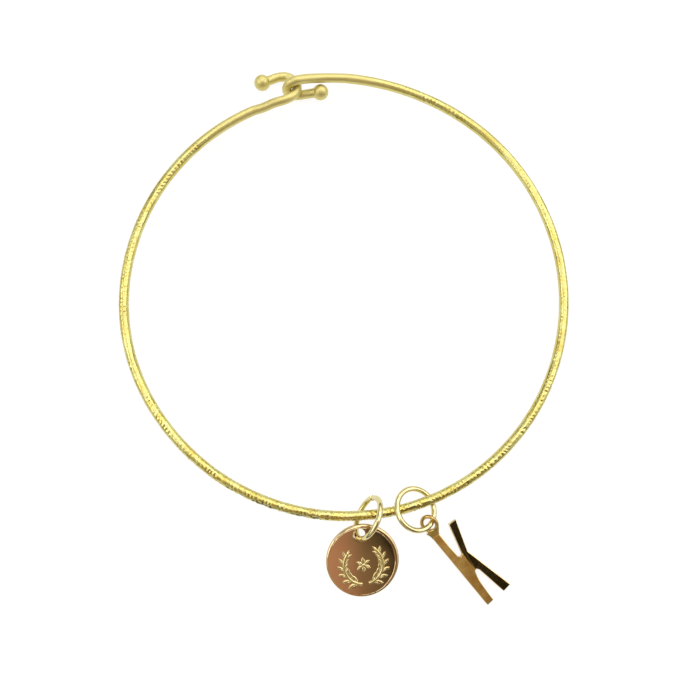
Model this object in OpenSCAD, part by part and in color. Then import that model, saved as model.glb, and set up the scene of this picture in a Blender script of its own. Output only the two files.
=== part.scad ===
// Charm bangle: one textured wire hoop whose two ends interlock as ball-tipped hooks,
// with a round disc charm and a letter charm, each on its own jump ring.
// It lies on its side: +Z is up from the surface, +Y runs from the wrist's middle to the hooks,
// and the origin is the middle of the hoop on the surface. Lengths are millimetres.

/* [Hoop] */
// Diameter of the textured wire
wire_d = 1.44; // [1.38:0.02:1.46]
// Radius of the hoop's centreline over its main arc
main_r = 32.5; // [32:0.25:33]
// How much wider the arc at the right end is bent
right_opens = 4.0; // [3.5:0.25:4.5]
// How much tighter the arc on the left side is bent
left_tightens = 3.0; // [2.75:0.25:3.25]
// Height of the hoop's centreline above the surface
hoop_z = 1.8; // [1.75:0.05:1.85]

/* [Hooks] */
// Diameter of the smooth wire of the hooks
hook_d = 1.40; // [1.34:0.02:1.40]
// Diameter of the ball on each hook's tip
ball_d = 2.40; // [2.2:0.05:2.4]
// Sides of the hooks' round section
hook_sides = 20; // [16:2:24]
// Sections along each stretch of a hook
hook_steps = 5; // [4:1:6]

/* [Jump rings] */
// Radius of a jump ring's centreline
ring_r = 3.0; // [2.98:0.01:3.02]
// Diameter of a jump ring's wire
ring_wire_d = 0.80; // [0.7:0.02:0.8]
// Width of the saw cut in a jump ring, in degrees
ring_cut = 2; // [1:0.5:4]

/* [Disc charm] */
// Radius of the disc
disc_r = 5.15; // [5.1:0.05:5.2]
// Thickness of the disc
disc_t = 0.9; // [0.8:0.05:0.9]
// Rounding of the disc's edge
disc_edge = 0.30; // [0.2:0.05:0.35]
// Diameter of the hole for the jump ring
hole_d = 1.65; // [1.65:0.05:1.75]
// Distance from the disc's middle to the hole
hole_off = 3.75; // [3.7:0.05:3.8]
// Bevel round the hole on both faces
hole_bevel = 0.12; // [0.08:0.02:0.16]
// Height of the raised leaves
relief = 0.18; // [0.12:0.02:0.20]

/* [Letter charm] */
// Thickness of the letter
letter_t = 0.9; // [0.8:0.05:0.9]
// Thickness of the neck between letter and eye
neck_t = 0.56; // [0.5:0.02:0.6]
// Radius of the eye's centreline
eye_r = 1.12; // [1.1:0.01:1.14]
// Diameter of the eye's wire
eye_wire_d = 0.56; // [0.5:0.02:0.56]

/* [Hidden] */
round_fn = 64;
turn_fn = 192;
// The lump that a cut needs to pass right through a face
over = 0.5;

// Hoop: four arcs that run into each other without a kink, named from the right end clockwise.
// Each arc but the main one reaches into its neighbour, thinner by the step, so that they join as one
joint_reach = 0.3;
joint_step = 0.01;
right_end = 74;
right_joint = 45;
left_joint_low = 195;
left_joint_high = 160;
left_end = 102;
right_r = main_r + right_opens;
tight_r = main_r - left_tightens;
left_r = main_r;
right_mid = (main_r - right_r) * way(right_joint);
tight_mid = (main_r - tight_r) * way(left_joint_low);
left_mid = tight_mid + (tight_r - left_r) * way(left_joint_high);

// Hooks: lengths that a hook's wire runs inside the hoop's end before it shows
lead_far = 2.4;
lead_near = 0.4;
// Where the hooks cross, on the main arc's line
clasp = [0, main_r, 0];
// Left hook's centreline from the hoop to its ball: x and y from the clasp, z from the surface
left_hook = [
    [-5.65, -2.55, 2.10],
    [-3.95, -2.40, 2.65],
    [-2.10, -2.25, 2.80],
    [-0.55, -1.55, 2.50],
    [ 0.15, -0.20, 1.90],
    [ 0.00,  1.15, 1.10],
    [-0.90,  2.10, 0.75],
    [-2.20,  2.30, 0.75],
    [-3.50,  2.05, 0.90],
    [-4.80,  1.75, 1.20]
];
// Right hook's centreline in the same columns: it arches over the left one and turns under it
right_hook = [
    [ 4.95,  0.05, 2.20],
    [ 3.30,  0.20, 2.50],
    [ 1.75,  0.20, 3.00],
    [ 0.15,  0.05, 3.45],
    [-1.00, -0.05, 3.05],
    [-1.50, -0.35, 2.00],
    [-1.20, -0.70, 1.15],
    [-0.25, -1.05, 0.75],
    [ 1.05, -1.20, 0.85],
    [ 2.30, -1.35, 1.05],
    [ 3.50, -1.50, 1.20]
];

// Charms hang from the stretch of wire opposite the hooks
stretch = [0, -main_r, 0];
// Jump rings: middle from the stretch, tilt from lying flat, where the low side points, where it is cut
disc_ring_at = stretch + [-5.25, 0.08, 3.28];
disc_ring_tilt = 69.2;
disc_ring_low = 143.8;
disc_ring_cut = 286;
initial_ring_at = stretch + [1.80, -0.50, 1.90];
initial_ring_tilt = 25;
initial_ring_low = 21;
initial_ring_cut = 0;

// Disc: its far edge is on the surface and its hole's side leans up on the jump ring
disc_at = stretch + [-7.24, -5.38, 0];
disc_hole_way = 84.3;
disc_lean = 11.9;

// Wreath on the disc's face: a leafy stem on an arc and its mirror image, round a small flower
wreath_mid = [0, -0.55];
wreath_r = 2.75;
stem_d = 0.50;
stem_foot = -80;
stem_tip = 40;
leaf_first = -68;
leaf_step = 19;
leaf_pairs = 6;
leaf_foot = 0.10;
leaf_len = 1.45;
leaf_shrink = 0.06;
leaf_slim = 0.36;
leaf_open = 38;
leaf_sunk = 0.10;
petals = 6;
petal_foot = 0.15;
petal_len = 0.95;
petal_slim = 0.50;
boss_r = 0.28;
boss_proud = 0.05;

// Letter: its own frame starts at the eye's middle, with the stem running down -Y
eye_at = stretch + [3.25, -2.95, 1.42];
letter_turn = 26.3;
letter_lean = 3.9;
eye_roll = 39;
neck_roll = 20;
// Outline of the letter: x across, y up the stem
letter = [
    [-1.00, -14.10],
    [ 0.12, -14.10],
    [ 0.20, -12.50],
    [ 0.30, -11.15],
    [ 0.52, -10.00],
    [ 0.78,  -9.30],
    [ 1.05,  -9.22],
    [ 1.32,  -9.60],
    [ 2.05, -14.20],
    [ 3.40, -14.10],
    [ 1.70,  -6.50],
    [ 3.30,  -1.95],
    [ 2.08,  -1.85],
    [ 0.84,  -6.30],
    [ 0.50,  -6.48],
    [ 0.16,  -6.10],
    [ 0.10,  -4.00],
    [ 0.10,  -1.90],
    [-1.00,  -1.90]
];
// Outline of the neck, in the same columns
neck = [
    [-1.00, -2.40],
    [ 0.10, -2.40],
    [ 0.18, -2.00],
    [ 0.50, -1.55],
    [ 0.92, -1.10],
    [ 0.72, -0.82],
    [ 0.00, -0.98],
    [-0.85, -0.75],
    [-1.30, -0.85],
    [-1.02, -1.60]
];

function way(angle) = [cos(angle), sin(angle)];
function unit(v) = v / norm(v);

// A point between b and c of a smooth curve through a, b, c and d
function between(a, b, c, d, t) =
    0.5 * (2 * b + (c - a) * t + (2 * a - 5 * b + 4 * c - d) * t * t + (3 * b - a - 3 * c + d) * t * t * t);

// The smooth curve through all points but the first, which only sets how the curve begins
function smooth(p) = let (
    last = len(p) - 1,
    q = concat(p, [2 * p[last] - p[last - 1]])
) [
    for (i = [1 : last - 1], k = [0 : hook_steps - 1]) between(q[i - 1], q[i], q[i + 1], q[i + 2], k / hook_steps),
    p[last]
];

function headings(p) = [
    for (i = [0 : len(p) - 1]) unit(p[min(i + 1, len(p) - 1)] - p[max(i - 1, 0)])
];

// A side direction for each heading, carried along the curve so that the tube doesn't twist
function carried(t) = [
    for (i = 0, n = unit(cross(t[0], [0, 0, 1])); i < len(t);
        i = i + 1, n = i < len(t) ? unit(n - (n * t[i]) * t[i]) : n) n
];

// A point on a hoop arc, a short length before or after one of its angles
function on_arc(mid, radius, angle, length) =
    let (p = mid + radius * way(angle + length / radius * 180 / PI)) [p.x, p.y, hoop_z];

module tube(p, diameter) {
    t = headings(p);
    n = carried(t);
    points = [
        for (i = [0 : len(p) - 1], k = [0 : hook_sides - 1])
            let (a = 360 * k / hook_sides)
            p[i] + diameter / 2 * (cos(a) * n[i] + sin(a) * cross(t[i], n[i]))
    ];
    walls = [
        for (i = [0 : len(p) - 2], k = [0 : hook_sides - 1])
            let (a = i * hook_sides + k, b = i * hook_sides + (k + 1) % hook_sides)
            each [[a, a + hook_sides, b + hook_sides], [a, b + hook_sides, b]]
    ];
    first_cap = [for (k = [0 : hook_sides - 1]) k];
    last_cap = [for (k = [hook_sides - 1 : -1 : 0]) (len(p) - 1) * hook_sides + k];
    polyhedron(points, concat([first_cap], walls, [last_cap]));
}

module main_arc() {
    translate([0, 0, hoop_z])
        rotate_extrude(angle = right_joint + 360 - left_joint_low, start = left_joint_low, $fn = turn_fn)
            translate([main_r, 0])
                circle(d = wire_d, $fn = round_fn);
}

// An arc that is a rank of steps thinner and reaches further at either end where it's told to
module side_arc(mid, radius, from, to, reach_from, reach_to, rank) {
    reach = joint_reach / radius * 180 / PI;
    first = from - reach_from * reach;
    translate([mid.x, mid.y, hoop_z])
        rotate_extrude(angle = to + reach_to * reach - first, start = first, $fn = turn_fn)
            translate([radius, 0])
                circle(d = wire_d - 2 * rank * joint_step, $fn = round_fn);
}

module hook(lead, row) {
    path = concat(lead, [for (p = row) p + clasp]);
    tube(smooth(path), hook_d);
    translate(path[len(path) - 1])
        sphere(d = ball_d, $fn = round_fn);
}

module bangle_wire() {
    color("gold") {
        main_arc();
        side_arc(right_mid, right_r, right_joint, right_end, 1, 0, 1);
        side_arc(tight_mid, tight_r, left_joint_high, left_joint_low, 0, 1, 1);
        side_arc(left_mid, left_r, left_end, left_joint_high, 0, 1, 2);
        hook([
            on_arc(left_mid, left_r, left_end, lead_far),
            on_arc(left_mid, left_r, left_end, lead_near)
        ], left_hook);
        hook([
            on_arc(right_mid, right_r, right_end, -lead_far),
            on_arc(right_mid, right_r, right_end, -lead_near)
        ], right_hook);
    }
}

module jump_ring(at, tilt, low, cut) {
    translate(at)
        rotate([0, 0, low])
            rotate([0, tilt, 0])
                rotate_extrude(angle = 360 - ring_cut, start = cut + ring_cut / 2, $fn = turn_fn)
                    translate([ring_r, 0])
                        circle(d = ring_wire_d, $fn = round_fn);
}

module disc_jump_ring() {
    color("khaki") jump_ring(disc_ring_at, disc_ring_tilt, disc_ring_low, disc_ring_cut);
}

module initial_jump_ring() {
    color("khaki") jump_ring(initial_ring_at, initial_ring_tilt, initial_ring_low, initial_ring_cut);
}

// Half of the disc's section, with rounded corners at the rim
module disc_section() {
    square([disc_r - disc_edge, disc_t]);
    translate([0, disc_edge])
        square([disc_r, disc_t - 2 * disc_edge]);
    for (z = [disc_edge, disc_t - disc_edge])
        translate([disc_r - disc_edge, z])
            circle(r = disc_edge, $fn = round_fn);
}

module disc_hole() {
    translate([0, hole_off, 0]) {
        translate([0, 0, -over])
            cylinder(d = hole_d, h = disc_t + 2 * over, $fn = round_fn);
        for (flip = [0, 1])
            translate([0, 0, flip * disc_t])
                mirror([0, 0, flip])
                    translate([0, 0, -over])
                        cylinder(r1 = hole_d / 2 + hole_bevel + over, r2 = hole_d / 2, h = hole_bevel + over, $fn = round_fn);
    }
}

// A leaf from its foot at the origin to its tip on +Y, bounded by two arcs
module leaf(length, slim) {
    half = slim * length / 2;
    arc_r = (length * length / 4 + half * half) / (2 * half);
    translate([0, 0, -leaf_sunk])
        linear_extrude(relief + leaf_sunk)
            translate([0, length / 2])
                intersection() {
                    translate([arc_r - half, 0]) circle(r = arc_r, $fn = round_fn * 2);
                    translate([half - arc_r, 0]) circle(r = arc_r, $fn = round_fn * 2);
                }
}

module leafy_stem() {
    rotate_extrude(angle = stem_tip - stem_foot, start = stem_foot, $fn = turn_fn)
        translate([wreath_r, 0])
            circle(d = stem_d, $fn = round_fn / 2);
    for (i = [0 : leaf_pairs - 1], side = [-1, 1])
        rotate([0, 0, leaf_first + i * leaf_step])
            translate([wreath_r, 0, 0])
                rotate([0, 0, side * leaf_open])
                    translate([0, leaf_foot])
                        leaf(leaf_len * (1 - i * leaf_shrink), leaf_slim);
    rotate([0, 0, stem_tip])
        translate([wreath_r, -leaf_foot, 0])
            leaf(leaf_len * (1 - leaf_pairs * leaf_shrink), leaf_slim);
}

module flower() {
    translate([0, 0, -leaf_sunk])
        cylinder(r = boss_r, h = leaf_sunk + relief + boss_proud, $fn = round_fn);
    for (i = [0 : petals - 1])
        rotate([0, 0, 360 * i / petals])
            translate([0, petal_foot])
                leaf(petal_len, petal_slim);
}

module wreath() {
    translate([wreath_mid.x, wreath_mid.y, 0]) {
        leafy_stem();
        mirror([1, 0, 0]) leafy_stem();
        flower();
    }
}

module disc_charm() {
    color("peru")
        translate(disc_at)
            rotate([0, 0, disc_hole_way - 90])
                translate([0, 0, disc_r * sin(disc_lean)])
                    rotate([disc_lean, 0, 0]) {
                        difference() {
                            rotate_extrude($fn = turn_fn) disc_section();
                            disc_hole();
                        }
                        translate([0, 0, disc_t]) wreath();
                    }
}

module initial_charm() {
    color("goldenrod")
        translate(eye_at)
            rotate([0, 0, letter_turn])
                rotate([letter_lean, 0, 0]) {
                    translate([0, 0, -letter_t / 2])
                        linear_extrude(letter_t) polygon(letter);
                    rotate([0, -neck_roll, 0])
                        translate([0, 0, -neck_t / 2])
                            linear_extrude(neck_t) polygon(neck);
                    rotate([0, -eye_roll, 0])
                        rotate_extrude($fn = turn_fn)
                            translate([eye_r, 0])
                                circle(d = eye_wire_d, $fn = round_fn / 2);
                }
}

bangle_wire();
disc_jump_ring();
disc_charm();
initial_jump_ring();
initial_charm();
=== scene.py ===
# %% [markdown]
# # A charm bangle in five pieces
# The bangle is one length of hammered gold-plated wire whose ends hook into each other. A polished disc
# and a letter hang from it on jump rings. The solids already give every piece its place and size, so this
# lesson only makes the surfaces that a camera sees: the hammer marks, the soft edges, the raised leaves
# and the gold. The pieces are built in millimetres, and the last step of each piece scales its mesh to
# metres.

import math

import bmesh
import bpy
from mathutils import Matrix, Vector, noise


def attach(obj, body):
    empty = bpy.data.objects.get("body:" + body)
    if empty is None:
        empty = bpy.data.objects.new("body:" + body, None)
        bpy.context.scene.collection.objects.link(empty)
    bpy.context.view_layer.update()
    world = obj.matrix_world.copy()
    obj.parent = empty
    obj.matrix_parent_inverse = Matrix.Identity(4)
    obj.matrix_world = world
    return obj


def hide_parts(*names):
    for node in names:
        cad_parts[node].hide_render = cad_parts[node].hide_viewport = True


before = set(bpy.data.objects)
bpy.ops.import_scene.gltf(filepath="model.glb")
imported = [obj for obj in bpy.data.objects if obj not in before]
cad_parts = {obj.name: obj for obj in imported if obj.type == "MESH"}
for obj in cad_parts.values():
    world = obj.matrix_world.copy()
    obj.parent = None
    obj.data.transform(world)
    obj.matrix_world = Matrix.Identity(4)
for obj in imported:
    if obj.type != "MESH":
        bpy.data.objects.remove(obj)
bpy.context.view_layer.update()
MM = 0.001

# %% [markdown]
# ## Where the camera stands
# The picture looks almost straight down. Its axis leans 10 degrees from upright, and the bangle lies
# turned by 14 degrees in the frame. Three angles in a row would be hard to read, so three directions say
# it: the way back to the camera, the picture's right and the picture's up. They are the columns of the
# camera's matrix.

# %% camera
LEAN, BACK_WAY, ROLL = (math.radians(a) for a in (10, 226, 14))
DISTANCE, AIM_NEAR, AIM_RIGHT, AIM_UP = 128.5, Vector((-0.716, -1.033, 1.8)), 0.805, -7.538
back = Vector((math.sin(LEAN) * math.cos(BACK_WAY), math.sin(LEAN) * math.sin(BACK_WAY), math.cos(LEAN)))
right = Vector((math.sin(ROLL), math.cos(ROLL), 0)).cross(back).normalized()
up = back.cross(right)
aim = AIM_NEAR + AIM_RIGHT * right + AIM_UP * up
camera_data = bpy.data.cameras.new("camera")
camera_data.lens, camera_data.sensor_width = 45.15, 36
camera_data.clip_start, camera_data.clip_end = 0.005, 10
camera = bpy.data.objects.new("camera", camera_data)
facing = Matrix((right, up, back)).transposed().to_4x4()
camera.matrix_world = Matrix.Translation((aim + DISTANCE * back) * MM) @ facing
bpy.context.scene.collection.objects.link(camera)
bpy.context.scene.camera = camera
print("camera stands at", [round(v / MM, 1) for v in camera.matrix_world.translation], "mm")

# %% [markdown]
# ## Gold that isn't one flat colour
# Plating varies: it is paler where it is thin or rubbed and richer where it is thick. Two effects are
# shared by all finishes, so each is a node group that is built once. The first gives the drift of colour,
# the second the fine marks of polishing, as roughness and as a height for a bump. Noise in the piece's
# own space makes both, because it needs neither seams nor an unwrapped surface.

# %% a helper that wires nodes
def add(tree, kind, values=(), **settings):
    node = tree.nodes.new(kind)
    for key, value in settings.items():
        setattr(node, key, value)
    for key, value in dict(values).items():
        if isinstance(value, bpy.types.NodeSocket):
            tree.links.new(value, node.inputs[key])
        else:
            node.inputs[key].default_value = value
    return node


def mix(tree, factor, first, second):
    node = tree.nodes.new("ShaderNodeMix")
    node.data_type = "RGBA"
    sockets = [node.inputs[0]] + [s for s in node.inputs if s.type == "RGBA"]
    for socket, value in zip(sockets, (factor, first, second)):
        if isinstance(value, bpy.types.NodeSocket):
            tree.links.new(value, socket)
        else:
            socket.default_value = value
    return next(s for s in node.outputs if s.type == "RGBA")


def new_group(name, inputs, outputs):
    tree = bpy.data.node_groups.new(name, "ShaderNodeTree")
    for label, kind, value in inputs:
        socket = tree.interface.new_socket(label, in_out="INPUT", socket_type=kind)
        if value is not None:
            socket.default_value = value
    for label, kind in outputs:
        tree.interface.new_socket(label, in_out="OUTPUT", socket_type=kind)
    return tree, tree.nodes.new("NodeGroupInput").outputs, tree.nodes.new("NodeGroupOutput").inputs


# %% the drift of colour in the plating
drift, given, result = new_group(
    "plating_drift",
    [
        ("Vector", "NodeSocketVector", None),
        ("Pale", "NodeSocketColor", (1, 0.9, 0.6, 1)),
        ("Rich", "NodeSocketColor", (0.9, 0.6, 0.3, 1)),
        ("Patches per mm", "NodeSocketFloat", 0.5),
        ("Contrast", "NodeSocketFloat", 1.0),
    ],
    [("Color", "NodeSocketColor"), ("Mask", "NodeSocketFloat")],
)
per_metre = add(drift, "ShaderNodeMath", {0: given["Patches per mm"], 1: 1000.0}, operation="MULTIPLY")
patches = add(drift, "ShaderNodeTexNoise",
              {"Vector": given["Vector"], "Scale": per_metre.outputs[0], "Detail": 4.0, "Roughness": 0.6})
centred = add(drift, "ShaderNodeMath", {0: patches.outputs["Fac"], 1: 0.5}, operation="SUBTRACT")
spread = add(drift, "ShaderNodeMath", {0: centred.outputs[0], 1: given["Contrast"]}, operation="MULTIPLY")
mask = add(drift, "ShaderNodeMath", {0: spread.outputs[0], 1: 0.5}, operation="ADD", use_clamp=True)
blend = mix(drift, mask.outputs[0], given["Pale"], given["Rich"])
drift.links.new(blend, result["Color"])
drift.links.new(mask.outputs[0], result["Mask"])
print("group", drift.name, "has", len(drift.nodes), "nodes")

# %% the fine marks of polishing
marks, given, result = new_group(
    "polishing_marks",
    [
        ("Vector", "NodeSocketVector", None),
        ("Stretch", "NodeSocketVector", (1, 1, 1)),
        ("Marks per mm", "NodeSocketFloat", 5.0),
        ("Smooth", "NodeSocketFloat", 0.12),
        ("Dull", "NodeSocketFloat", 0.3),
    ],
    [("Roughness", "NodeSocketFloat"), ("Height", "NodeSocketFloat")],
)
stretched = add(marks, "ShaderNodeVectorMath",
                {0: given["Vector"], 1: given["Stretch"]}, operation="MULTIPLY")
per_metre = add(marks, "ShaderNodeMath", {0: given["Marks per mm"], 1: 1000.0}, operation="MULTIPLY")
streaks = add(marks, "ShaderNodeTexNoise",
              {"Vector": stretched.outputs[0], "Scale": per_metre.outputs[0], "Detail": 3.0})
wider = add(marks, "ShaderNodeMath", {0: per_metre.outputs[0], 1: 0.12}, operation="MULTIPLY")
clouds = add(marks, "ShaderNodeTexNoise",
             {"Vector": given["Vector"], "Scale": wider.outputs[0], "Detail": 2.0})
both = add(marks, "ShaderNodeMath",
           {0: streaks.outputs["Fac"], 1: clouds.outputs["Fac"]}, operation="MULTIPLY")
dullness = add(marks, "ShaderNodeMapRange",
               {0: both.outputs[0], 1: 0.12, 2: 0.4, 3: given["Smooth"], 4: given["Dull"]})
marks.links.new(dullness.outputs[0], result["Roughness"])
marks.links.new(streaks.outputs["Fac"], result["Height"])
print("group", marks.name, "has", len(marks.nodes), "nodes")

# %% [markdown]
# ## One recipe for each finish
# The rings, the disc, its leaves and the letter are all plated, but polished in different ways. Each
# could have a shader of its own, but then a change would have to be made five times. So one function
# places both groups with the finish's own values and feeds one metal shader. Metal has no colour of its
# own beyond its reflections, so the base colour is the tint that a reflection gets.

# %% a finish from the two groups
def gold(name, pale, rich, patches, contrast, stretch, per_mm, smooth, dull, bump, coordinate=None):
    material = bpy.data.materials.new(name)
    material.use_nodes = True
    tree = material.node_tree
    tree.nodes.clear()
    place = add(tree, "ShaderNodeTexCoord").outputs["Object"]
    if coordinate:
        place = add(tree, "ShaderNodeAttribute", attribute_name=coordinate).outputs["Vector"]
    tint = add(tree, "ShaderNodeGroup", node_tree=drift)
    wear = add(tree, "ShaderNodeGroup", node_tree=marks)
    for node in (tint, wear):
        tree.links.new(place, node.inputs["Vector"])
    tint.inputs["Pale"].default_value = (*pale, 1)
    tint.inputs["Rich"].default_value = (*rich, 1)
    tint.inputs["Patches per mm"].default_value = patches
    tint.inputs["Contrast"].default_value = contrast
    wear.inputs["Stretch"].default_value = stretch
    wear.inputs["Marks per mm"].default_value = per_mm
    wear.inputs["Smooth"].default_value = smooth
    wear.inputs["Dull"].default_value = dull
    relief = add(tree, "ShaderNodeBump",
                 {"Height": wear.outputs["Height"], "Strength": 1.0, "Distance": bump * MM})
    shader = add(tree, "ShaderNodeBsdfPrincipled",
                 {"Base Color": tint.outputs["Color"], "Metallic": 1.0,
                  "Roughness": wear.outputs["Roughness"], "Normal": relief.outputs["Normal"]})
    add(tree, "ShaderNodeOutputMaterial", {"Surface": shader.outputs[0]})
    print("finish", name)
    return material, tree, tint, shader


# %% the four polished finishes
ring_gold = gold("pale_ring_gold", (0.72, 0.66, 0.38), (0.68, 0.56, 0.25), patches=0.35, contrast=1.6,
                 stretch=(1, 1, 1), per_mm=6, smooth=0.04, dull=0.12, bump=0.002)[0]
disc_gold = gold("mirror_disc_gold", (0.64, 0.50, 0.28), (0.62, 0.44, 0.23), patches=0.25, contrast=2.2,
                 stretch=(1, 0.15, 1), per_mm=9, smooth=0.03, dull=0.10, bump=0.0006)[0]
leaf_gold = gold("raised_leaf_gold", (0.68, 0.60, 0.32), (0.64, 0.48, 0.20), patches=0.9, contrast=1.5,
                 stretch=(1, 1, 1), per_mm=12, smooth=0.10, dull=0.24, bump=0.004)[0]
letter_gold = gold("mirror_letter_gold", (0.72, 0.56, 0.25), (0.48, 0.30, 0.09), patches=0.40, contrast=3.0,
                   stretch=(1, 0.3, 1), per_mm=7, smooth=0.05, dull=0.14, bump=0.0008)[0]

# %% [markdown]
# ## The hammered finish
# The wire takes the same recipe, but its streaks run along the wire, the deepest cuts of the hammer get
# painted shade, a near-black tint, and the hooks are an even, paler satin. Noise could place the painted
# shade, but it would miss the cuts. So the mesh brings three values: `grain` is a point's place along the
# wire and in its section, in metres, the cut value says how much painted shade a point gets, and `worked`
# fades to nothing on the hooks.

# %% finish of the wire
# The first colour here is painted shade: a near-black tint that the deepest hammer cuts get.
CUT_SHADE_TINT, SATIN, SATIN_DULL, SATIN_HEIGHT = (0.03, 0.033, 0.012, 1), (0.70, 0.61, 0.24, 1), 0.50, 0.5
wire_gold, tree, tint, shader = gold(
    "hammered_wire_gold", (0.66, 0.62, 0.25), (0.60, 0.48, 0.12), patches=0.7, contrast=3.2,
    stretch=(0.10, 1, 1), per_mm=3.5, smooth=0.14, dull=0.34, bump=0.050, coordinate="grain")
depth = add(tree, "ShaderNodeAttribute", attribute_name="cut").outputs["Fac"]
worked = add(tree, "ShaderNodeAttribute", attribute_name="worked").outputs["Fac"]
# Painted shade: the base colour turns near-black where the cut value is high.
cut_shaded = mix(tree, depth, tint.outputs["Color"], CUT_SHADE_TINT)
tree.links.new(mix(tree, worked, SATIN, cut_shaded), shader.inputs["Base Color"])
relief = shader.inputs["Normal"].links[0].from_node
for socket, on_hooks in ((shader.inputs["Roughness"], SATIN_DULL), (relief.inputs["Height"], SATIN_HEIGHT)):
    on_hoop = socket.links[0].from_socket
    blended = add(tree, "ShaderNodeMapRange", {0: worked, 1: 0.0, 2: 1.0, 3: on_hooks, 4: on_hoop})
    tree.links.new(blended.outputs[0], socket)
print("the wire's finish has", len(tree.nodes), "nodes")

# %% [markdown]
# ## The line that the wire follows
# The real wire was bent round a former, and its ends were bent into hooks. A curve object with a round
# bevel could follow it, but it has no faces that a hammer could mark, so the line is computed here and
# swept later. The hoop is four arcs that meet without a kink, because the middles of two neighbours and
# their joint lie on one line. The hooks run through a few bend points, and a Catmull-Rom curve joins
# these smoothly.

# %% arcs of the hoop
MAIN_R, RIGHT_R, TIGHT_R, HOOP_Z = 32.5, 36.5, 29.5, 1.8
POINTS_PER_DEGREE, TRIM = 8, 6


def way(degrees):
    return Vector((math.cos(math.radians(degrees)), math.sin(math.radians(degrees)), 0))


tight_mid = (MAIN_R - TIGHT_R) * way(195)
hoop_arcs = [
    (tight_mid + (TIGHT_R - MAIN_R) * way(160), MAIN_R, 102, 160),
    (tight_mid, TIGHT_R, 160, 195),
    (Vector(), MAIN_R, 195, 405),
    ((MAIN_R - RIGHT_R) * way(45), RIGHT_R, 405, 434),
]
hoop_line = []
for mid, radius, first, last in hoop_arcs:
    steps = round((last - first) * POINTS_PER_DEGREE)
    for i in range(steps):
        spot = mid + radius * way(first + (last - first) * i / steps)
        hoop_line.append(Vector((spot.x, spot.y, HOOP_Z)))
hoop_line = hoop_line[TRIM:-TRIM]
print("hoop line has", len(hoop_line), "points, from", [round(v, 2) for v in hoop_line[0]])

# %% bend points of the two hooks, from the hoop to the ball
CLASP, LEAD = Vector((0, MAIN_R, 0)), 16
left_bends = [
    (-5.65, -2.55, 2.10), (-3.95, -2.40, 2.65), (-2.10, -2.25, 2.80), (-0.55, -1.55, 2.50),
    (0.15, -0.20, 1.90), (0.00, 1.15, 1.10), (-0.90, 2.10, 0.75), (-2.20, 2.30, 0.75),
    (-3.50, 2.05, 0.90), (-4.80, 1.75, 1.20),
]
right_bends = [
    (4.95, 0.05, 2.20), (3.30, 0.20, 2.50), (1.75, 0.20, 3.00), (0.15, 0.05, 3.45),
    (-1.00, -0.05, 3.05), (-1.50, -0.35, 2.00), (-1.20, -0.70, 1.15), (-0.25, -1.05, 0.75),
    (1.05, -1.20, 0.85), (2.30, -1.35, 1.05), (3.50, -1.50, 1.20),
]


def bent(lead, bends, steps=24):
    p = lead + [Vector(b) + CLASP for b in bends]
    p.append(2 * p[-1] - p[-2])
    line = []
    for a, b, c, d in zip(p, p[1:], p[2:], p[3:]):
        for i in range(steps):
            t = i / steps
            curve = (2 * a - 5 * b + 4 * c - d) * t**2 + (3 * b - a - 3 * c + d) * t**3
            line.append(0.5 * (2 * b + (c - a) * t + curve))
    return line + [p[-2]]


left_hook = bent([hoop_line[LEAD], hoop_line[0]], left_bends)
right_hook = bent([hoop_line[-LEAD], hoop_line[-1]], right_bends)
whole_line = left_hook[:0:-1] + hoop_line + right_hook[1:]
first_of_hoop = len(left_hook) - 1
print("whole line has", len(whole_line), "points")

# %% [markdown]
# ## Even stations
# Hammer marks need sections that lie evenly, so the line is measured and cut again into equal steps. Each
# station also gets a side direction. It could be read from the bend of the line, but that flips wherever
# a hook turns the other way. So it starts as the hoop's outward direction and is carried along the line
# without twisting, and "outside" stays outside along the hoop.

# %% stations along the line
STEP = 0.115
lengths = [0.0]
for a, b in zip(whole_line, whole_line[1:]):
    lengths.append(lengths[-1] + (b - a).length)


def evenly(line, measured, step):
    count = round(measured[-1] / step)
    spots, k = [], 0
    for i in range(count + 1):
        want = measured[-1] * i / count
        while k < len(line) - 2 and measured[k + 1] < want:
            k += 1
        spots.append(line[k].lerp(line[k + 1], (want - measured[k]) / (measured[k + 1] - measured[k])))
    return spots, measured[-1] / count


spots, step = evenly(whole_line, lengths, STEP)
print(len(spots), "stations", round(step, 4), "mm apart, wire", round(lengths[-1], 1), "mm long")

# %% heading and side of each station
ANCHOR_IN = 5
last_spot = len(spots) - 1
headings = [(spots[min(i + 1, last_spot)] - spots[max(i - 1, 0)]).normalized() for i in range(len(spots))]
anchor = round((lengths[first_of_hoop] + ANCHOR_IN) / step)
sides = {anchor: headings[anchor].cross(Vector((0, 0, 1))).normalized()}
for order in (range(anchor + 1, len(spots)), range(anchor - 1, -1, -1)):
    side = sides[anchor]
    for i in order:
        side = (side - side.dot(headings[i]) * headings[i]).normalized()
        sides[i] = side
hoop_from, hoop_to = lengths[first_of_hoop], lengths[first_of_hoop + len(hoop_line) - 1]
print("the hoop runs from", round(hoop_from, 1), "to", round(hoop_to, 1), "mm along the wire")

# %% [markdown]
# ## Sweeping the wire with its balls
# The real balls are the ends of the wire, drawn up by a torch. Spheres could be pushed over the ends, but
# they would leave a hard seam. So one ring of edges is extruded from station to station and each new ring
# is moved to its place. A ball is nothing but stations whose radius grows and shrinks like a sphere's, so
# wire and ball are one skin.

# %% sections of the sweep, ball to ball
WIRE_R, HOOK_R, BALL_R, BALL_STEPS, POLE = 0.72, 0.70, 1.20, 22, -87
FLARE, FLARE_LONG, IN_BALL, TAPER = 0.03, 0.35, 1.0, 1


def soft(low, high, x):
    t = min(max((x - low) / (high - low), 0), 1)
    return t * t * (3 - 2 * t)


def section(spot, heading, side, radius, along):
    lift = side.cross(heading)
    facing = Matrix((side, lift, side.cross(lift))).transposed().to_4x4()
    return Matrix.Translation(spot) @ facing @ Matrix.Scale(radius, 4), along


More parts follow.
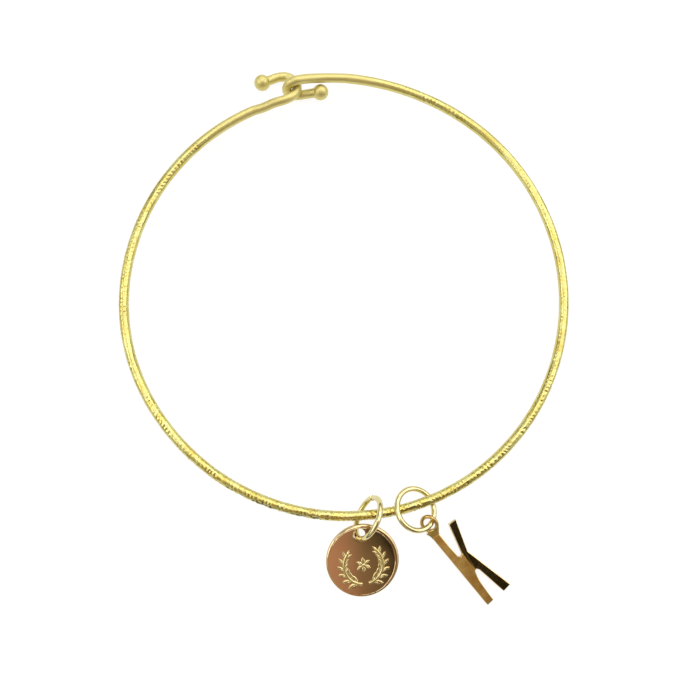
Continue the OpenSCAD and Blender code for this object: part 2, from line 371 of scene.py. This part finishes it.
neck = math.degrees(math.acos((HOOK_R + FLARE) / BALL_R))
ball = [math.radians(POLE + (neck - POLE) * i / BALL_STEPS) for i in range(BALL_STEPS + 1)]
sections = []
for t in ball:
    out = BALL_R * math.sin(t)
    radius = BALL_R * math.cos(t)
    sections.append(section(spots[0] + headings[0] * out, headings[0], sides[0], radius, out))
for i, spot in enumerate(spots):
    along = i * step
    if IN_BALL < along < lengths[-1] - IN_BALL:
        on_hoop = soft(hoop_from - TAPER, hoop_from + TAPER, along)
        on_hoop *= soft(hoop_to + TAPER, hoop_to - TAPER, along)
        flare = FLARE * (1 - soft(0, FLARE_LONG, min(along, lengths[-1] - along) - IN_BALL))
        radius = HOOK_R + (WIRE_R - HOOK_R) * on_hoop + flare
        sections.append(section(spot, headings[i], sides[i], radius, along))
for t in reversed(ball):
    out = -BALL_R * math.sin(t)
    radius = BALL_R * math.cos(t)
    middle = spots[-1] + headings[-1] * out
    sections.append(section(middle, headings[-1], sides[last_spot], radius, lengths[-1] + out))
print("the sweep has", len(sections), "sections")

# %% extrude ring after ring
WIRE_SIDES = 28


def only(kind, geom):
    return [g for g in geom if isinstance(g, kind)]


def tell(label, bm):
    print(label, "has", len(bm.faces), "faces, closed:", all(len(e.link_faces) == 2 for e in bm.edges))


wire = bmesh.new()
place, along = sections[0]
bmesh.ops.create_circle(wire, cap_ends=True, segments=WIRE_SIDES, radius=1)
grain = wire.verts.layers.float_vector.new("grain")
cut = wire.verts.layers.float.new("cut")
worked = wire.verts.layers.float.new("worked")
for v in wire.verts:
    v[grain] = (along, v.co.x, v.co.y)
bmesh.ops.transform(wire, matrix=place, verts=wire.verts)
rim = list(wire.edges)
for next_place, next_along in sections[1:]:
    made = bmesh.ops.extrude_edge_only(wire, edges=rim)["geom"]
    fresh = only(bmesh.types.BMVert, made)
    bmesh.ops.transform(wire, matrix=next_place @ place.inverted(), verts=fresh)
    for v in fresh:
        v[grain] = (next_along, v[grain][1], v[grain][2])
    fresh_set = set(fresh)
    rim = [e for e in only(bmesh.types.BMEdge, made) if e.verts[0] in fresh_set and e.verts[1] in fresh_set]
    place = next_place
bmesh.ops.edgeloop_fill(wire, edges=rim)
tell("swept wire", wire)

# %% [markdown]
# ## Hammer marks
# Short slanted grooves wind round the real wire, about three in two millimetres, and no two are equally
# deep. They are deepest at the picture's lower left, where heavier notches are struck on the outer side,
# and they fade out towards the hooks. The deepest of them are painted near-black as shade. A bump would
# shade them but leave the outline smooth, so they are pressed into the mesh. Their depth is one function of
# the way along and the way round. Four noises in it are set apart by their scales and offsets: the waver of
# the grooves, the force of each blow, the slow swell along the wire, and where a notch was struck.

# %% depth of the marks, in mm; the angle is 0 outside, 90 on top and 180 inside
PACE, STARTS, WAVER, NARROW, GROOVE_DEEP, NOTCH_DEEP = 0.64, 3, 0.8, 1.4, 0.085, 0.16
DEEPEST_AT, DEEP_STRETCH, NOTCH_STRETCH = 0.42, 0.22, 0.09
SWELL_BASE, SWELL_MORE, SWELL_DRIFT, FAINTEST = 0.38, 0.80, 0.6, 0.1
NOTCH_ANGLE, NOTCH_WIDE = 22, 34


def hump(x, middle, wide):
    return math.exp(-(((x - middle) / wide) ** 2))


def mark_depth(along, angle):
    turn_at = math.radians(angle)
    ring_x, ring_y = math.cos(turn_at), math.sin(turn_at)
    bend = WAVER * noise.noise(Vector((ring_x * 1.1, ring_y * 1.1, along * 0.5)))
    phase = along / PACE + STARTS * turn_at / (2 * math.pi) + bend
    groove = max(0.0, math.cos(2 * math.pi * phase)) ** NARROW
    blow = soft(-0.35, 0.40, noise.noise(Vector((ring_x * 1.6, ring_y * 1.6, along * 0.9 + 40))))
    far = (along - hoop_from) / (hoop_to - hoop_from)
    drift_along = SWELL_DRIFT * noise.noise(Vector((along * 0.07, 2.0, 1.0)))
    swell = SWELL_BASE + SWELL_MORE * hump(far, DEEPEST_AT, DEEP_STRETCH) + drift_along
    outside = hump((angle - NOTCH_ANGLE + 180) % 360 - 180, 0, NOTCH_WIDE)
    struck = soft(-0.02, 0.14, noise.noise(Vector((along * 1.3, 3.3, ring_y))))
    notch = outside * struck * hump(far, DEEPEST_AT, NOTCH_STRETCH)
    return GROOVE_DEEP * swell * groove * (FAINTEST + (1 - FAINTEST) * blow) + NOTCH_DEEP * notch


middle_way = hoop_from + DEEPEST_AT * (hoop_to - hoop_from)
depths = [mark_depth(middle_way + 0.01 * i, NOTCH_ANGLE) for i in range(500)]
print("over 5 mm of the wire the marks are", round(min(depths), 3), "to", round(max(depths), 3), "mm deep")

# %% press the marks into the wire
FADE_FROM, FADE_TO, CUT_SHADE_FROM, CUT_SHADE_FULL = -2, 16, 0.075, 0.140
deepest = 0.0
for v in wire.verts:
    along = v[grain][0]
    fade = soft(hoop_from + FADE_FROM, hoop_from + FADE_TO, along)
    fade *= soft(hoop_to - FADE_FROM, hoop_to - FADE_TO, along)
    v[worked] = fade
    if fade:
        depth_here = fade * mark_depth(along, math.degrees(math.atan2(v[grain][2], v[grain][1])))
        # Painted shade: the deepest marks get a value for the near-black tint, from their depth alone.
        v[cut] = soft(CUT_SHADE_FROM, CUT_SHADE_FULL, depth_here)
        i = min(last_spot, max(0, round(along / step)))
        lift = sides[i].cross(headings[i])
        outward = sides[i] * v[grain][1] + lift * v[grain][2]
        v.co -= depth_here * outward
        deepest = max(deepest, depth_here)
print("deepest mark", round(deepest, 3), "mm")
for v in wire.verts:
    v[grain] = (v[grain][0] * MM, v[grain][1] * WIRE_R * MM, v[grain][2] * WIRE_R * MM)

# %% [markdown]
# ## From a bmesh to a finished piece
# Every piece goes the same way from here: normals outwards, millimetres to metres, smooth shading with the
# real creases kept sharp, then it is parented to the root body and the solid that it replaces is hidden. It
# could be written out for each piece, but one function makes sure that no piece misses a step.

# %% finish a piece, first the wire
def to_mesh(bm, name):
    mesh = bpy.data.meshes.new(name)
    bm.to_mesh(mesh)
    bm.free()
    return mesh


def finish_piece(bm, name, node, materials, crease=40):
    bmesh.ops.recalc_face_normals(bm, faces=bm.faces)
    bmesh.ops.scale(bm, vec=(MM, MM, MM), verts=bm.verts)
    mesh = to_mesh(bm, name)
    for material in materials:
        mesh.materials.append(material)
    mesh.shade_smooth()
    mesh.set_sharp_from_angle(angle=math.radians(crease))
    piece = bpy.data.objects.new(name, mesh)
    bpy.context.scene.collection.objects.link(piece)
    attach(piece, "root")
    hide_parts(node)
    triangles = sum(len(p.vertices) - 2 for p in mesh.polygons)
    low_point = min(v.co.z for v in mesh.vertices) / MM
    print(name, "has", triangles, "triangles, low point", round(low_point, 3), "mm")


finish_piece(wire, "hammered_wire", "bangle_wire", [wire_gold])

# %% [markdown]
# ## Jump rings
# A jump ring is wire wound round a mandrel and sawn off, so its two ends never meet quite square. A torus
# has no cut, so a circle is spun round the ring's axis, short of a full turn by the width of the cut.
# Near the cut the two ends are pushed to opposite sides, and each gets a small bevel.

# %% moves and turns
def move(x, y, z):
    return Matrix.Translation((x, y, z))


def turn(axis, degrees):
    return Matrix.Rotation(math.radians(degrees), 4, axis)


print("(1, 0, 0) turned by 90 degrees round Z is", [round(v, 3) for v in turn("Z", 90) @ Vector((1, 0, 0))])

# %% a sawn ring, its low side on +X
RING_R, RING_WIRE_R, RING_SIDES, RING_STEPS = 3.0, 0.40, 20, 150
SAW_GAP, BURR, PUSHED, PUSHED_OUT = 2, 0.05, 30, 0.3


def sawn_ring(cut_at, aside, place):
    ring = bmesh.new()
    section_place = move(RING_R, 0, 0) @ turn("X", 90)
    bmesh.ops.create_circle(ring, segments=RING_SIDES, radius=RING_WIRE_R, matrix=section_place)
    bmesh.ops.spin(ring, geom=ring.verts[:] + ring.edges[:], cent=(0, 0, 0), axis=(0, 0, 1),
                   angle=math.radians(360 - SAW_GAP), steps=RING_STEPS, use_merge=False)
    open_edges = [e for e in ring.edges if len(e.link_faces) == 1]
    made = bmesh.ops.holes_fill(ring, edges=open_edges, sides=0)["faces"]
    for v in ring.verts:
        at = math.degrees(math.atan2(v.co.y, v.co.x)) % 360
        last = 360 - SAW_GAP
        end = soft(PUSHED, 0, at) if at < 180 else -soft(last - PUSHED, last, at)
        v.co.z += aside * end
        v.co += Vector((v.co.x, v.co.y, 0)).normalized() * PUSHED_OUT * aside * end
    ends = [e for f in made for e in f.edges]
    bmesh.ops.bevel(ring, geom=ends, offset=BURR, offset_type="OFFSET", affect="EDGES", segments=2,
                    profile=0.5, material=-1)
    bmesh.ops.transform(ring, matrix=place @ turn("Z", cut_at + SAW_GAP / 2), verts=ring.verts)
    tell("ring", ring)
    return ring


# %% both rings in their places
STRETCH = move(0, -MAIN_R, 0)
disc_ring_place = STRETCH @ move(-5.25, 0.08, 3.28) @ turn("Z", 143.8) @ turn("Y", 69.2)
initial_ring_place = STRETCH @ move(1.80, -0.50, 1.90) @ turn("Z", 21) @ turn("Y", 25)
disc_ring = sawn_ring(286, 0.07, disc_ring_place)
initial_ring = sawn_ring(0, 0.05, initial_ring_place)
finish_piece(disc_ring, "disc_ring", "disc_jump_ring", [ring_gold])
finish_piece(initial_ring, "initial_ring", "initial_jump_ring", [ring_gold])

# %% [markdown]
# ## The disc
# The disc was stamped from sheet and tumbled, so its face is very slightly domed, a fine groove runs
# inside the rim and the rim falls off to a round edge. A bevelled cylinder would lack the dome and the
# groove. A lathe profile, spun once round, gives all of it. The dome is only a tenth of a millimetre
# high, but without it a mirror face would show one flat colour. The stamp hit a little off centre, so the
# rim is wider on one side.

# %% a lathe
def spun(profile, steps):
    bm = bmesh.new()
    points = [bm.verts.new((r, 0, z)) for r, z in profile]
    chain = [bm.edges.new(pair) for pair in zip(points, points[1:])]
    bmesh.ops.spin(bm, geom=points + chain, cent=(0, 0, 0), axis=(0, 0, 1), angle=2 * math.pi,
                   steps=steps, use_merge=True)
    bmesh.ops.remove_doubles(bm, verts=bm.verts, dist=0.0005)
    bmesh.ops.recalc_face_normals(bm, faces=bm.faces)
    return bm


sample = spun([(0, 0), (1, 0), (1, 1), (0, 1)], 8)
tell("a short cylinder from the lathe", sample)
sample.free()

# %% spin the disc from its profile
DISC_R, DISC_T, DOME, DISC_STEPS = 5.15, 0.90, 0.10, 160
FACE_R, GROOVE_R, FOOT_ROUND, FLAT_R, OFF_CENTRE = 4.70, 4.83, 0.25, 4.8, Vector((-0.19, -0.06, 0))
FACE_STEPS, UNDERSIDE_STEPS = 24, 6


def face_height(r):
    return DISC_T - DOME * (r / DISC_R) ** 2


rim_round = [(4.86, 0.835), (5.04, 0.755), (5.09, 0.72), (5.13, 0.67), (DISC_R, 0.60)]
foot_round = []
for degrees in range(0, 91, 15):
    bend = FOOT_ROUND * way(degrees)
    foot_round.append((DISC_R - FOOT_ROUND + bend.x, FOOT_ROUND - bend.y))
groove = [(FACE_R, face_height(FACE_R)), (4.735, 0.790), (4.78, 0.785), (GROOVE_R, 0.820)]
face = [(FACE_R * i / FACE_STEPS, face_height(FACE_R * i / FACE_STEPS)) for i in range(FACE_STEPS)]
underside = [(FLAT_R * (1 - i / UNDERSIDE_STEPS), 0.0) for i in range(1, UNDERSIDE_STEPS + 1)]
disc = spun(face + groove + rim_round + foot_round + underside, DISC_STEPS)
for v in disc.verts:
    if v.co.z > DISC_T / 2 and v.co.xy.length < GROOVE_R + 0.01:
        v.co += OFF_CENTRE * (v.co.xy.length / GROOVE_R) ** 2
tell("disc", disc)

# %% [markdown]
# ## The hole
# The hole lies off the disc's middle, so the spin can't make it. A cutter with the drill's width and a
# flare for the lip at each face is spun in the same way, and a Boolean modifier takes it out, as the real
# drill did.

# %% drill the hole
HOLE_R, HOLE_OFF, DRILL_LOW, DRILL_HIGH, DRILL_STEPS = 0.825, 3.75, -0.45, 1.10, 64
lower_lip = [(0, DRILL_LOW), (HOLE_R + 0.57, DRILL_LOW), (HOLE_R, 0.12), (HOLE_R, 0.66)]
upper_lip = [(HOLE_R + 0.015, 0.73), (HOLE_R + 0.05, 0.785), (HOLE_R + 0.12, 0.83)]
upper_end = [(HOLE_R + 0.55, DRILL_HIGH), (0, DRILL_HIGH)]
drill = spun(lower_lip + upper_lip + upper_end, DRILL_STEPS)
bmesh.ops.translate(drill, vec=(0, HOLE_OFF, 0), verts=drill.verts)


def temporary(bm, name):
    made = bpy.data.objects.new(name, to_mesh(bm, name))
    bpy.context.scene.collection.objects.link(made)
    return made


blank, cutter = temporary(disc, "disc_blank"), temporary(drill, "disc_drill")
boolean = blank.modifiers.new("hole", "BOOLEAN")
boolean.operation, boolean.solver, boolean.object = "DIFFERENCE", "EXACT", cutter
bpy.context.view_layer.update()
disc = bmesh.new()
disc.from_object(blank, bpy.context.evaluated_depsgraph_get())
for old in (blank, cutter):
    bpy.data.objects.remove(old)
tell("drilled disc", disc)

# %% [markdown]
# ## The raised wreath
# The disc's face carries raised work, and a leafy wreath round a small flower is a plain, old ornament. A
# bump could hint at it, but raised leaves catch light on their sides, so they are built. A leaf starts as
# a small grid. Its sides are drawn in to two points, its middle is raised, a vein is pressed into it, and
# its rim is extruded down into the disc. One side of the wreath is built and then mirrored.

# %% one leaf, foot at the origin and tip on +Y
LEAF_HIGH, LEAF_ROOT, LEAF_FALL, LEAF_ENDS, LEAF_FULL = 0.18, -0.16, 0.45, 0.02, 0.75
VEIN_WIDE, RIB_DEEP, RIBS, RIB_SLANT = 0.16, 0.10, 5, 0.8


def add_leaf(bm, length, slim, place, vein_deep=0.35):
    made = bmesh.ops.create_grid(bm, x_segments=8, y_segments=14, size=1)["verts"]
    for v in made:
        across, along = v.co.x, (v.co.y + 1) / 2
        inside = min(max(along, LEAF_ENDS), 1 - LEAF_ENDS)
        half = slim / 2 * length * math.sin(math.pi * inside) ** LEAF_FULL
        vein = vein_deep * hump(across, 0, VEIN_WIDE) * (1 - along)
        rib = RIB_DEEP * abs(math.sin((along * RIBS + abs(across) * RIB_SLANT) * math.pi))
        height = LEAF_HIGH * (1 - LEAF_FALL * across**2 - vein - rib * (1 - across**2))
        v.co = (half * across, length * along, height)
    rim = list({e for v in made for e in v.link_edges if len(e.link_faces) == 1})
    skirt = only(bmesh.types.BMVert, bmesh.ops.extrude_edge_only(bm, edges=rim)["geom"])
    for v in skirt:
        v.co.z = LEAF_ROOT
    base = [e for e in {e for v in skirt for e in v.link_edges} if len(e.link_faces) == 1]
    bmesh.ops.holes_fill(bm, edges=base, sides=0)
    bmesh.ops.transform(bm, matrix=place, verts=made + skirt)


sample = bmesh.new()
add_leaf(sample, 1, 0.4, Matrix())
tell("one leaf", sample)
sample.free()

# %% the stem of one side, with its leaves
WREATH_MID, WREATH_R, STEM_R, STEM_FOOT, STEM_TIP = Vector((0, -0.55, 0)), 2.75, 0.25, -80, 40
LEAF_PAIRS, LEAF_FIRST, LEAF_STEP, LEAF_OPEN = 6, -68, 19, 38
LEAF_LONG, LEAF_SHRINK, LEAF_SLIM, LEAF_OFF, STEM_SIDES, STEM_STEPS = 1.45, 0.06, 0.40, 0.10, 14, 40
wreath = bmesh.new()
section_place = turn("Z", STEM_FOOT) @ move(WREATH_R, 0, 0) @ turn("X", 90)
bmesh.ops.create_circle(wreath, segments=STEM_SIDES, radius=STEM_R, matrix=section_place)
bmesh.ops.spin(wreath, geom=wreath.verts[:] + wreath.edges[:], cent=(0, 0, 0), axis=(0, 0, 1),
               angle=math.radians(STEM_TIP - STEM_FOOT), steps=STEM_STEPS, use_merge=False)
bmesh.ops.holes_fill(wreath, edges=[e for e in wreath.edges if len(e.link_faces) == 1], sides=0)
for i in range(LEAF_PAIRS):
    for side in (-1, 1):
        foot = turn("Z", LEAF_FIRST + LEAF_STEP * i) @ move(WREATH_R, 0, 0) @ turn("Z", LEAF_OPEN * side)
        add_leaf(wreath, LEAF_LONG * (1 - LEAF_SHRINK * i), LEAF_SLIM, foot @ move(0, LEAF_OFF, 0))
last_leaf = LEAF_LONG * (1 - LEAF_SHRINK * LEAF_PAIRS)
add_leaf(wreath, last_leaf, LEAF_SLIM, turn("Z", STEM_TIP) @ move(WREATH_R, -LEAF_OFF, 0))
tell("one side of the wreath", wreath)

# %% mirror the side, add the flower, and join all to the disc
PETALS, PETAL_LONG, PETAL_SLIM, PETAL_OFF, PETAL_VEIN = 6, 0.95, 0.52, 0.15, 0.55
BOSS_R, BOSS_FLAT = 0.28, 0.80
half_mesh = bpy.data.meshes.new("half_wreath")
wreath.to_mesh(half_mesh)
half_mesh.transform(Matrix.Scale(-1, 4, (1, 0, 0)))
wreath.from_mesh(half_mesh)
boss = bmesh.ops.create_uvsphere(wreath, u_segments=24, v_segments=12, radius=BOSS_R)["verts"]
bmesh.ops.scale(wreath, vec=(1, 1, BOSS_FLAT), verts=boss)
for i in range(PETALS):
    petal_place = turn("Z", 360 / PETALS * i) @ move(0, PETAL_OFF, 0)
    add_leaf(wreath, PETAL_LONG, PETAL_SLIM, petal_place, vein_deep=PETAL_VEIN)
bmesh.ops.translate(wreath, vec=WREATH_MID + Vector((0, 0, DISC_T)), verts=wreath.verts)
for v in wreath.verts:
    v.co.z -= DISC_T - face_height(v.co.xy.length)
bmesh.ops.recalc_face_normals(wreath, faces=wreath.faces)
tell("wreath with its flower", wreath)
disc_faces = len(disc.faces)
disc.from_mesh(to_mesh(wreath, "wreath"))
disc.faces.ensure_lookup_table()
for face in disc.faces[disc_faces:]:
    face.material_index = 1

# %% lean the disc on its ring
LEANS, HOLE_WAY = 11.9, 84.3
far_edge_down = move(0, 0, DISC_R * math.sin(math.radians(LEANS))) @ turn("X", LEANS)
disc_place = STRETCH @ move(-7.24, -5.38, 0) @ turn("Z", HOLE_WAY - 90) @ far_edge_down
bmesh.ops.transform(disc, matrix=disc_place, verts=disc.verts)
finish_piece(disc, "leaf_disc", "disc_charm", [disc_gold, leaf_gold], crease=32)

# %% [markdown]
# ## The letter
# The letter is sawn from thick sheet, so its outline is drawn flat and extruded. A font's letter would be
# quicker, but it has other proportions. Two things make it look made and not drawn: every edge is broken
# by a narrow bevel that catches the light, and the stem's face and the arms' face meet in a very flat
# valley, as hand filing leaves them. One straight cut parts the two faces first.

# %% outlines, x across and y up the stem, from the middle of the eye
letter_outline = [
    (-1.00, -14.10), (0.12, -14.10), (0.20, -12.50), (0.30, -11.15), (0.52, -10.00), (0.78, -9.30),
    (1.05, -9.22), (1.32, -9.60), (2.05, -14.20), (3.40, -14.10), (1.70, -6.50), (3.30, -1.95),
    (2.08, -1.85), (0.84, -6.30), (0.50, -6.48), (0.16, -6.10), (0.10, -4.00), (0.10, -1.90),
    (-1.00, -1.90),
]
neck_outline = [
    (-1.00, -2.40), (0.10, -2.40), (0.18, -2.00), (0.50, -1.55), (0.92, -1.10), (0.72, -0.82),
    (0.00, -0.98), (-0.85, -0.75), (-1.30, -0.85), (-1.02, -1.60),
]
print("outlines have", len(letter_outline), "and", len(neck_outline), "points")

# %% a plate from an outline
VALLEY_X, EDGE_LEFT, EDGE_RIGHT, STEM_SLOPE, ARM_SLOPE = 0.93, -1.0, 3.4, 0.060, 0.047
SHARP = math.radians(35)


def plate(outline, thick, bevel, place, filed=False):
    bm = bmesh.new()
    face = bm.faces.new([bm.verts.new((x, y, -thick / 2)) for x, y in outline])
    raised = bmesh.ops.extrude_face_region(bm, geom=[face], use_keep_orig=True)["geom"]
    bmesh.ops.translate(bm, vec=(0, 0, thick), verts=only(bmesh.types.BMVert, raised))
    if filed:
        everything = bm.verts[:] + bm.edges[:] + bm.faces[:]
        bmesh.ops.bisect_plane(bm, geom=everything, plane_co=(VALLEY_X, 0, 0), plane_no=(1, 0, 0))
        for v in bm.verts:
            arms, stem = ARM_SLOPE * (EDGE_RIGHT - v.co.x), STEM_SLOPE * (v.co.x - EDGE_LEFT)
            if v.co.z > 0:
                v.co.z -= arms if v.co.x > VALLEY_X else stem
    bmesh.ops.recalc_face_normals(bm, faces=bm.faces)
    sharp = [e for e in bm.edges if e.calc_face_angle(0) > SHARP]
    bmesh.ops.bevel(bm, geom=sharp, offset=bevel, offset_type="OFFSET", affect="EDGES", segments=2,
                    profile=0.5, material=-1, clamp_overlap=True)
    bmesh.ops.transform(bm, matrix=place, verts=bm.verts)
    tell("plate", bm)
    return to_mesh(bm, "plate")


# %% letter and neck in their place
LETTER_T, LETTER_BEVEL, NECK_T, NECK_BEVEL, NECK_TIPS, EYE_TIPS = 0.9, 0.17, 0.56, 0.09, -20, -39
letter_place = STRETCH @ move(3.25, -2.95, 1.42) @ turn("Z", 26.3) @ turn("X", 3.9)
letter = bmesh.new()
letter.from_mesh(plate(letter_outline, LETTER_T, LETTER_BEVEL, letter_place, filed=True))
letter.from_mesh(plate(neck_outline, NECK_T, NECK_BEVEL, letter_place @ turn("Y", NECK_TIPS)))
tell("letter", letter)

# %% the eye, soldered on
EYE_R, EYE_WIRE_R, EYE_SIDES, EYE_STEPS = 1.12, 0.28, 36, 96
eye = bmesh.new()
section_place = move(EYE_R, 0, 0) @ turn("X", 90)
bmesh.ops.create_circle(eye, segments=EYE_SIDES, radius=EYE_WIRE_R, matrix=section_place)
bmesh.ops.spin(eye, geom=eye.verts[:] + eye.edges[:], cent=(0, 0, 0), axis=(0, 0, 1), angle=2 * math.pi,
               steps=EYE_STEPS, use_merge=True)
bmesh.ops.transform(eye, matrix=letter_place @ turn("Y", EYE_TIPS), verts=eye.verts)
letter.from_mesh(to_mesh(eye, "eye"))
finish_piece(letter, "letter_k", "initial_charm", [letter_gold], crease=12)

# %% [markdown]
# ## Floor and light
# The picture is taken on a lit white sheet in a white tent, so light comes from everywhere and shadows
# all but vanish. More lamps could whiten the sheet too, but each would leave a glint on the gold. So the
# sheet glows a little by itself, which keeps it an even white below the metal.

# %% white floor
FLOOR_HALF, GLOW = 0.6, 0.90
floor = bmesh.new()
bmesh.ops.create_grid(floor, x_segments=1, y_segments=1, size=FLOOR_HALF)
floor_piece = temporary(floor, "floor")
paper = bpy.data.materials.new("white_paper")
paper.use_nodes = True
shader = paper.node_tree.nodes["Principled BSDF"]
shader.inputs["Base Color"].default_value = (0.15, 0.15, 0.15, 1)
shader.inputs["Emission Color"].default_value = (1, 1, 1, 1)
shader.inputs["Emission Strength"].default_value = GLOW
shader.inputs["Roughness"].default_value = 0.9
shader.inputs["Specular IOR Level"].default_value = 0.1
floor_piece.data.materials.append(paper)
print("floor is", round(2 * FLOOR_HALF / MM), "mm wide")

# %% [markdown]
# ## A tent with a dark opening
# What gives polished gold its depth is what the tent lacks. It is dim near the sheet and on its near
# side, its far left corner and a spot beside it get less light, its cloth has folds, and it has an
# opening overhead for the camera. Walls could be modelled for that, but a world that depends on the
# direction is quicker to change. `away` holds the direction's parts along X, Y and Z, so a soft patch is
# a distance from a point in X and Y.

# %% a soft patch on the tent
world = bpy.data.worlds.new("tent")
bpy.context.scene.world = world
world.use_nodes = True
tree = world.node_tree
tree.nodes.clear()
sky = add(tree, "ShaderNodeTexCoord").outputs["Generated"]
away = add(tree, "ShaderNodeSeparateXYZ", {0: sky}).outputs


def math_node(operation, *values):
    return add(tree, "ShaderNodeMath", dict(enumerate(values)), operation=operation).outputs[0]


def ease(value, low, high, at_low, at_high):
    values = {0: value, 1: low, 2: high, 3: at_low, 4: at_high}
    return add(tree, "ShaderNodeMapRange", values, interpolation_type="SMOOTHSTEP").outputs[0]


def soft_patch(middle, inner, outer, at_inner, at_outer, wide=(1, 1)):
    parts = {}
    for i in (0, 1):
        parts[i] = math_node("DIVIDE", math_node("SUBTRACT", away[i], middle[i]), wide[i])
    flat = add(tree, "ShaderNodeCombineXYZ", parts)
    distance = add(tree, "ShaderNodeVectorMath", {0: flat.outputs[0]}, operation="LENGTH")
    return ease(distance.outputs["Value"], inner, outer, at_inner, at_outer)


print("direction has the parts", [part.name for part in away])

# %% the walls, dim near the sheet, with folds and two dim spots
wall = ease(away[2], low=0.12, high=0.52, at_low=0.30, at_high=2.3)
near_side = ease(away[1], low=-0.85, high=0.15, at_low=0.35, at_high=1.0)
folds = add(tree, "ShaderNodeTexNoise", {"Vector": sky, "Scale": 4.5, "Detail": 3.0, "Roughness": 0.6})
fold = ease(folds.outputs["Fac"], low=0.38, high=0.60, at_low=0.28, at_high=1.30)
corner = soft_patch((-0.36, 0.62), inner=0.20, outer=0.46, at_inner=0.50, at_outer=1.0)
dim_spot = soft_patch((-0.46, 0.19), inner=0.06, outer=0.20, at_inner=0.16, at_outer=1.0)
lit = wall
for part in (near_side, fold, corner, dim_spot):
    lit = math_node("MULTIPLY", lit, part)
walls = add(tree, "ShaderNodeCombineColor", {0: lit, 1: lit, 2: lit})
print("the walls have", len(tree.nodes), "nodes")

# %% [markdown]
# ## What lies beyond the opening
# The room beyond is copper-brown at its left, almost black in its middle and brown again at its right,
# where it changes fast. The disc mirrors the step from copper-brown to dark, the letter's arms the black
# and its stem the brown at the right. Furniture could stand there, but bands of colour say the same in a
# reflection. Noise sways the bands, so that no edge is straight. The tent only lights the metal: where
# the picture looks past the sheet, it finds plain white.

# %% bands of colour across the opening
OPENING, OPENING_WIDE, LEFT_END, RIGHT_END, SWAY = (-0.04, -0.48), (0.67, 0.46), -0.42, 0.58, 0.16
inside = soft_patch(OPENING, inner=0.80, outer=1.15, at_inner=1.0, at_outer=0.0, wide=OPENING_WIDE)
overhead = math_node("GREATER_THAN", away[2], 0.0)
opening = math_node("MULTIPLY", inside, overhead)
blur = add(tree, "ShaderNodeTexNoise", {"Vector": sky, "Scale": 7.0, "Detail": 2.0})
swayed = math_node("MULTIPLY_ADD", blur.outputs["Fac"], SWAY, away[0])
across = add(tree, "ShaderNodeMapRange", {0: swayed, 1: LEFT_END, 2: RIGHT_END, 3: 0.0, 4: 1.0})
shade = add(tree, "ShaderNodeValToRGB", {0: across.outputs[0]})
bands = [
    (0.10, (0.42, 0.40, 0.25)), (0.28, (0.50, 0.42, 0.28)), (0.40, (0.74, 0.44, 0.35)),
    (0.49, (0.56, 0.33, 0.25)), (0.55, (0.28, 0.20, 0.13)), (0.60, (0.14, 0.11, 0.07)),
    (0.64, (0.03, 0.027, 0.02)), (0.735, (0.03, 0.027, 0.02)), (0.80, (0.46, 0.33, 0.18)),
    (0.835, (0.66, 0.50, 0.30)), (0.847, (0.52, 0.38, 0.22)), (0.862, (0.28, 0.18, 0.085)),
    (0.90, (0.22, 0.13, 0.06)), (0.95, (0.34, 0.24, 0.13)),
]
ramp = shade.color_ramp.elements
ramp.remove(ramp[1])
ramp[0].position, ramp[0].color = bands[0][0], (*bands[0][1], 1)
for position, colour in bands[1:]:
    ramp.new(position).color = (*colour, 1)
print("the room beyond has", len(ramp), "bands")

# %% light from the tent
tent = mix(tree, opening, walls.outputs[0], shade.outputs[0])
seen = add(tree, "ShaderNodeLightPath").outputs["Is Camera Ray"]
lamp = add(tree, "ShaderNodeBackground", {"Color": mix(tree, seen, tent, (1, 1, 1, 1))})
add(tree, "ShaderNodeOutputWorld", {"Surface": lamp.outputs[0]})
bpy.context.scene.view_settings.view_transform = "Standard"
print("tent is lit, opening", OPENING_WIDE, "around", OPENING)
